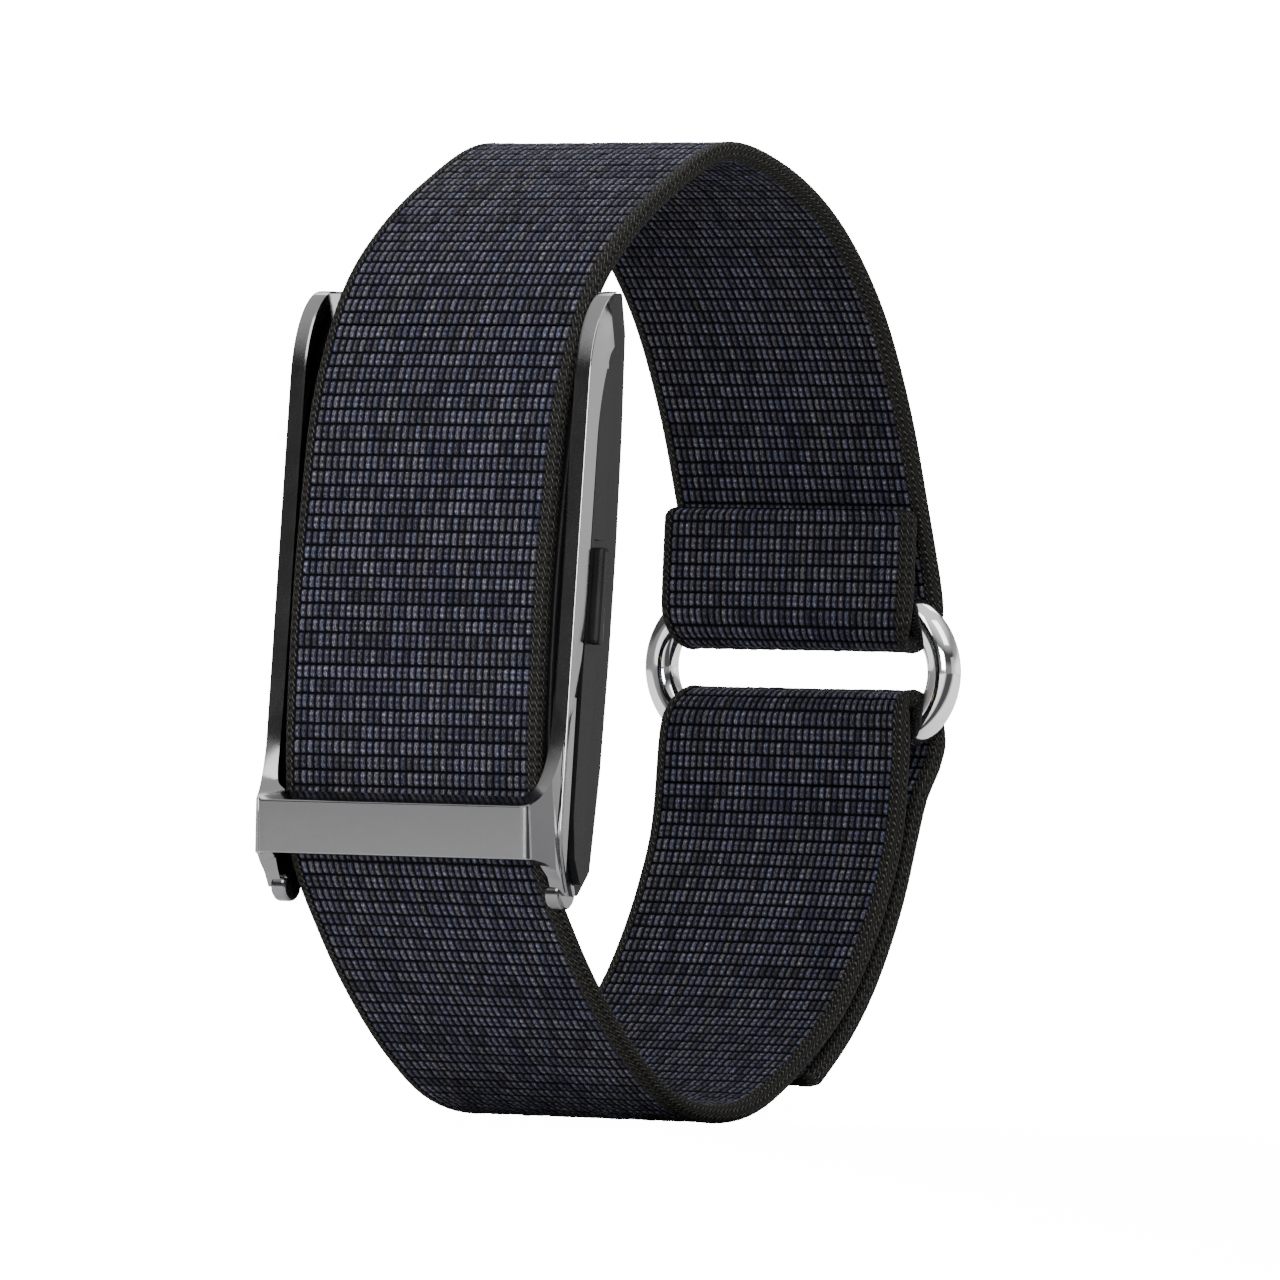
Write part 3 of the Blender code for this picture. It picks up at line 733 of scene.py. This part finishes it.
def disc(name, centre, radius, span, side, material, bevel=0.0):
    """A round body about a (v, u) centre, between the two x values of span on one side of the pod."""
    turn = [2 * math.pi * k / 48 for k in range(48)]
    rim = [(centre[0] + radius * math.cos(a), centre[1] + radius * math.sin(a)) for a in turn]
    return solid(name, [[(side * x, v, u) for v, u in rim] for x in span], material, bevel)


def leg_sections(side):
    """A side arm from its foot under the pod up to its swept-back tip, with its cover over the wall."""
    out = []
    ups = [*np.linspace(-21.3, -12.0, 20), *np.linspace(-11.0, 9.0, 12), *np.linspace(9.6, 21.2, 44),
           21.5, 21.72, 21.88]
    turn = [math.radians(a) for a in (0, 22.5, 45, 67.5, 90)]
    for u in ups:
        top = min(1.0, max(0.0, (u - 15.3) / 6.6))
        low = max(0.0, (-16.0 - u) / 5.4)
        front = SIDE_DEPTH * (1 - math.sqrt(1 - top ** 2.1)) + 1.5 * low ** 2
        bend = min(1.0, max(0.0, (u - 11.2) / 6.6))
        rear = 1.5 + (SIDE_DEPTH - 1.5) * (1 - math.sqrt(max(0.0, 1 - bend ** 2))) ** 0.9 + 1.7 * low ** 1.6
        rear = max(rear, front + 0.30)
        wall = SIDE_DEPTH - 1.7 * math.sqrt(1 - min(1.0, max(0.0, (u - 13.6) / 5.2)) ** 2)
        deep = min(1.0, max(0.0, (u - 16.75) / 0.5))
        wall = min(rear - 0.02, wall + 1.7 * low ** 1.6) * (1 - deep) + (rear - 0.02) * deep
        lean = 0.95 * max(0.0, (u - 16.6) / 5.3) ** 1.2 + 0.55 * min(1.0, max(0.0, (-1.0 - u) / 9.0)) ** 1.5
        edge = 0.09
        rim = [(RAIL_OUT - edge * (1 - math.sin(a)), front + edge * (1 - math.cos(a))) for a in turn]
        face = [(RAIL_IN, front + 0.03), (RAIL_IN + 0.15, front), (RAIL_OUT - edge - 0.04, front)]
        first, last = front + edge + 0.03, rear - 0.03
        bow = [(RAIL_OUT - lean * k / 4, first + (last - first) * k / 4) for k in range(5)]
        under = 12.89 - lean * (wall - first) / (last - first) - 0.9 * deep
        back = [(bow[-1][0] - 0.02, rear), (min(under, bow[-1][0] - 0.03), rear),
                (under, wall), (RAIL_IN, wall)]
        out.append([(side * x, v, u) for x, v in [*face, *rim, *bow, *back]])
    return out


def wing_sections(side):
    """The flare from a rail to the bar: a ribbon that turns from the rail's front to the bar's top."""
    outer = spline([(12.86, 0.02, -7.2), (12.84, -0.02, -9.6), (12.70, -0.32, -11.8),
                    (12.45, -0.92, -13.55), (12.12, -1.66, -14.65), (11.80, -2.36, -15.22)], 0.32)
    inner = spline([(RAIL_IN, 0.02, -7.2), (11.62, -0.02, -9.6), (11.54, -0.22, -11.6),
                    (11.36, -0.52, -13.0), (11.02, -0.80, -13.95), (10.30, -1.00, -14.44)], 0.32)
    count = len(outer)
    inner = [inner[round(i * (len(inner) - 1) / (count - 1))] for i in range(count)]
    foot = [(-1.86, -19.02), (-0.9, -19.18), (0.0, -19.62), (0.7, -20.30), (1.25, -21.2)]
    outer += [(12.80 - PLATE_SLOPE * max(0.0, 0.05 - v), v, u) for v, u in foot]
    inner += [(10.4, -1.6, -18.9), (11.2, -0.85, -18.95), (11.4, 0.0, -19.3),
              (RAIL_IN, 0.7, -20.1), (RAIL_IN, 1.2, -21.0)]
    outer.append((12.74, 1.25, -7.3))
    inner.append((RAIL_IN, 1.25, -7.3))
    middle = [tuple((a + b) / 2 for a, b in zip(p, q)) for p, q in zip(inner, outer)]
    return [[(side * x, v, u) for x, v, u in ring] for ring in (inner, middle, outer)]


def bar_sections():
    """The bar's plan outline with rounded front corners, lofted between its sloping top and its foot."""
    corner = [(10.95 + 0.83 * math.sin(a), -2.63 + 0.75 * (1 - math.cos(a))) for a in np.linspace(0, 1.22, 9)]
    right = [*corner, (11.82, -1.55), (11.70, -0.98)]
    plan = [*right, *[(-x, v) for x, v in reversed(right)]]

    rings = []
    for share in (0.0, 0.5, 1.0):
        ring = []
        for x, v in plan:
            high, low = BAR_TOP_U + 0.50 * (v + 2.63), -19.07 + 0.04 * (v + 2.6)
            u = low + (high - low) * share
            ring.append((x, v + (BAR_TOP_U - u) * 0.117 * (v < -1.2), u))
        rings.append(ring)
    return rings


def build_clasp():
    """The U-shaped gunmetal clasp as one body: two arms, their flares, the bar and two small ears."""
    look = metal("gunmetal", (0.215, 0.215, 0.22), 0.14, 0.03)
    clasp = solid("clasp", bar_sections(), look, 0.10)
    for side in (1, -1):
        leg = solid("leg", leg_sections(side), look)
        join(leg, disc("ear", (PIVOT_V, PIVOT_U), EAR_R, EAR_X, side, look))
        join(leg, disc("lip", (LIP_V, LIP_U), LIP_R, LIP_X, side, look, 0.30))
        join(leg, disc("bore", (PIVOT_V, PIVOT_U), PIN_BORE, BORE_X, side, look), "DIFFERENCE")
        join(clasp, solid("wing", wing_sections(side), look))
        join(clasp, leg)
    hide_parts("clasp_frame")
    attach(clasp, "clasp")


# ---- CAD nodes that stay -----------------------------------------------------------------------------


def dress_frame():
    """Every CAD node that still shows gets the material of what it is made of."""
    looks = {
        "polished_steel": metal("polished_steel", (0.52, 0.52, 0.53), 0.10),
        "black_plastic": plastic("black_plastic", (0.009, 0.009, 0.010), 0.30, 0.12, shine=0.14),
        "rubber": plastic("rubber", (0.016, 0.016, 0.016), 0.75, 0.5),
        "window": glass("window", (0.30, 0.33, 0.35), 0.04),
        "gold": metal("gold", (0.83, 0.60, 0.26), 0.22, 0.08),
        "board": plastic("board", (0.008, 0.11, 0.045), 0.40, 0.4, 0.3, 0.3, 3000.0),
        "chip": plastic("chip", (0.018, 0.018, 0.02), 0.45, 0.6),
        "shield": metal("shield", (0.60, 0.60, 0.58), 0.30, 0.1, 0.3),
        "cell": metal("cell", (0.55, 0.56, 0.58), 0.34, 0.08, 0.6),
        "foam": plastic("foam", (0.05, 0.05, 0.05), 0.95, 1.0, 0.0, 0.4, 2500.0),
        "led": plastic("led", (0.25, 0.85, 0.45), 0.15, 0.1, 0.5),
        "photodiode": plastic("photodiode", (0.03, 0.03, 0.09), 0.12, 0.1, 0.5),
    }
    for part in frame["record"]["subparts"]:
        node = frame["nodes"][part["node"]]
        if part["material_slot"] in looks:
            node.data.materials.clear()
            node.data.materials.append(looks[part["material_slot"]])


# ---- stage -------------------------------------------------------------------------------------------


def aim(obj, target):
    """Turns a camera or light to look at a point."""
    obj.rotation_mode = "QUATERNION"
    obj.rotation_quaternion = (Vector(target) - obj.location).to_track_quat("-Z", "Y")


def direction(azimuth, elevation):
    """A unit vector; azimuth runs from the pod's front towards the button, both angles in degrees."""
    a, e = math.radians(azimuth), math.radians(elevation)
    return Vector((math.sin(a) * math.cos(e), -math.cos(a) * math.cos(e), math.sin(e)))


def build_camera():
    """A long lens a metre away, slightly above the object and towards the button's side."""
    target = Vector((0.0, 3.7, 34.7)) * MM
    camera = bpy.data.objects.new("camera", bpy.data.cameras.new("camera"))
    camera.location = target + direction(CAMERA_AZIMUTH, CAMERA_ELEVATION) * 1.0
    camera.data.sensor_width = SENSOR
    camera.data.lens = SENSOR / VIEW_WIDTH
    camera.data.clip_start, camera.data.clip_end = 0.05, 20.0
    aim(camera, target)
    bpy.context.scene.collection.objects.link(camera)
    bpy.context.scene.camera = camera


def panel(name, azimuth, elevation, distance, size, power, target=(0.0, 0.0, 0.035)):
    """A soft rectangular light that looks at the object."""
    light = bpy.data.lights.new(name, "AREA")
    light.shape = "RECTANGLE"
    light.size, light.size_y = size
    light.energy = power
    obj = bpy.data.objects.new(name, light)
    obj.location = Vector(target) + direction(azimuth, elevation) * distance
    aim(obj, target)
    bpy.context.scene.collection.objects.link(obj)


def build_world():
    """Studio surroundings: a bright band behind to the right, dark above the horizon elsewhere, white to the
    camera."""
    world = bpy.data.worlds.new("studio")
    world.use_nodes = True
    bpy.context.scene.world = world
    tree = world.node_tree
    n = Nodes.over(tree)
    ray = n.add("ShaderNodeTexCoord").outputs["Generated"]
    parts = n.add("ShaderNodeSeparateXYZ", {0: ray}).outputs
    flat = n.add("ShaderNodeVectorMath", {0: ray, 1: (1.0, 1.0, 0.0)}, operation="MULTIPLY").outputs[0]
    flat = n.add("ShaderNodeVectorMath", {0: flat}, operation="NORMALIZE").outputs[0]
    back = tuple(direction(146.6, 0.0))
    facing = n.add("ShaderNodeVectorMath", {0: flat, 1: back}, operation="DOT_PRODUCT").outputs["Value"]
    height = n.math("ADD", 0.5, n.math("MULTIPLY", parts[2], 0.5))
    front = n.ramp(height, [(0.0, grey(0.33)), (0.47, grey(0.33)), (0.54, grey(0.30)), (0.59, grey(0.08)),
                            (0.66, grey(0.08)), (0.76, grey(0.75)), (0.90, grey(1.25))])
    rear = n.ramp(height, [(0.0, grey(0.5)), (0.42, grey(1.6)), (0.54, grey(1.9)), (0.62, grey(0.5)),
                           (0.74, grey(0.35)), (0.90, grey(1.25))])
    turned = n.math("ADD", 0.5, n.math("MULTIPLY", facing, 0.5))
    side = n.ramp(turned, [(0.86, grey(0.0)), (0.965, grey(1.0))])
    lit = n.mix(side, front, rear)
    seen = n.add("ShaderNodeLightPath").outputs["Is Camera Ray"]
    colour = n.mix(seen, lit, (1.0, 1.0, 1.0, 1.0))
    strength = n.math("ADD", 1.0, n.math("MULTIPLY", seen, WHITE - 1.0))
    background = tree.nodes["Background"]
    n.put(background.inputs[0], colour)
    n.put(background.inputs[1], strength)


def build_stage():
    """A round floor, white to the camera, with a dark patch for the metal to mirror, and five soft panels."""
    n = Nodes("floor")
    n.shader.inputs["Specular IOR Level"].default_value = 0.0
    seen = n.add("ShaderNodeLightPath").outputs["Is Camera Ray"]
    n.put(n.shader.inputs["Emission Color"], (1.0, 1.0, 1.0, 1.0))
    n.put(n.shader.inputs["Emission Strength"], n.math("MULTIPLY", seen, WHITE - PALE))
    spot = n.place()
    cloud = n.ramp(n.noise(9.0, spot), [(0.3, grey(PALE)), (0.7, grey(0.82))])
    ray = n.add("ShaderNodeVectorMath", {0: spot}, operation="NORMALIZE").outputs[0]
    card = tuple(direction(72.0, 0.0))
    toward = n.add("ShaderNodeVectorMath", {0: ray, 1: card}, operation="DOT_PRODUCT").outputs["Value"]
    shade = n.ramp(toward, [(0.82, grey(0.0)), (0.95, grey(1.0))])
    material = n.set(Base_Color=n.mix(shade, cloud, (0.05, 0.05, 0.05, 1.0)), Roughness=0.9)
    turn = np.linspace(0, 2 * np.pi, 97)[:-1]
    rim = [(FLOOR_REACH * math.cos(a), FLOOR_REACH * math.sin(a), FLOOR_Z) for a in turn]
    floor = new_object("floor", rim, [list(range(len(rim)))], material)
    build_world()
    panel("key", -12, 38, 0.9, (0.6, 0.5), 5.0)
    panel("fill", 30, 9, 1.2, (0.5, 0.35), 11.0)
    panel("side", 80, 45, 0.9, (0.5, 0.5), 3.0)
    panel("rear", 200, 50, 1.0, (0.8, 0.6), 5.0)
    panel("plate", 99, 5, 1.0, (0.45, 0.35), 0.30)


build_camera()
build_strap()
build_ring()
build_hooks()
build_clasp()
dress_frame()
build_stage()
